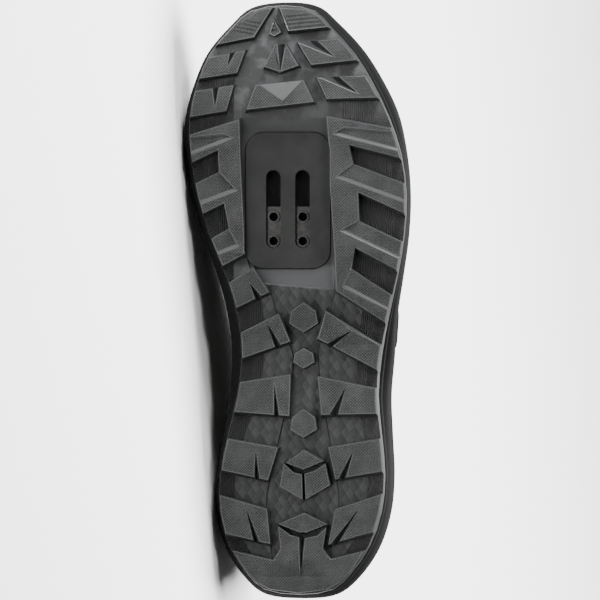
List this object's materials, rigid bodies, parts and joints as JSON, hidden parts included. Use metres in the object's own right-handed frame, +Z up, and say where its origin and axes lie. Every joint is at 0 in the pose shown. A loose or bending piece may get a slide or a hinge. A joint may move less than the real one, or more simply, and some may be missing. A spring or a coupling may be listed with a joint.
{
  "type": "cycling shoe",
  "caption": "Left off-road cycling shoe with lugged rubber sole, slotted cleat plate, hollow low-cut upper, tongue and strap closure, lying on its medial side.",
  "frame": {"origin": "centre of the bounding box's base, on the floor that the shoe lies on", "axes": "+X from the toe to the heel, +Y from the sole to the ankle, +Z up, towards the lateral side; the sole leans back a few degrees as the shoe lies"},
  "size_m": [0.287, 0.1344, 0.1068],
  "materials": {
    "tread_rubber": "matt moulded rubber with a fine knurl on the lugs",
    "side_foam": "satin moulded foam with grooves",
    "plate_nylon": "smooth satin moulded nylon",
    "nut_steel": "blackened steel",
    "lining_mesh": "knitted lining",
    "upper_synthetic": "fine grained synthetic leather",
    "tongue_mesh": "padded spacer mesh",
    "strap_webbing": "coated webbing with stitched edges"
  },
  "bodies": {
    "root": {"outsole": "tread_rubber", "midsole": "side_foam", "cleat_plate": "plate_nylon", "nut_plate": "nut_steel", "insole": "lining_mesh", "upper": "upper_synthetic", "tongue": "tongue_mesh", "strap_instep": "strap_webbing", "strap_middle": "strap_webbing", "strap_front": "strap_webbing"}
  },
  "joints": []
}
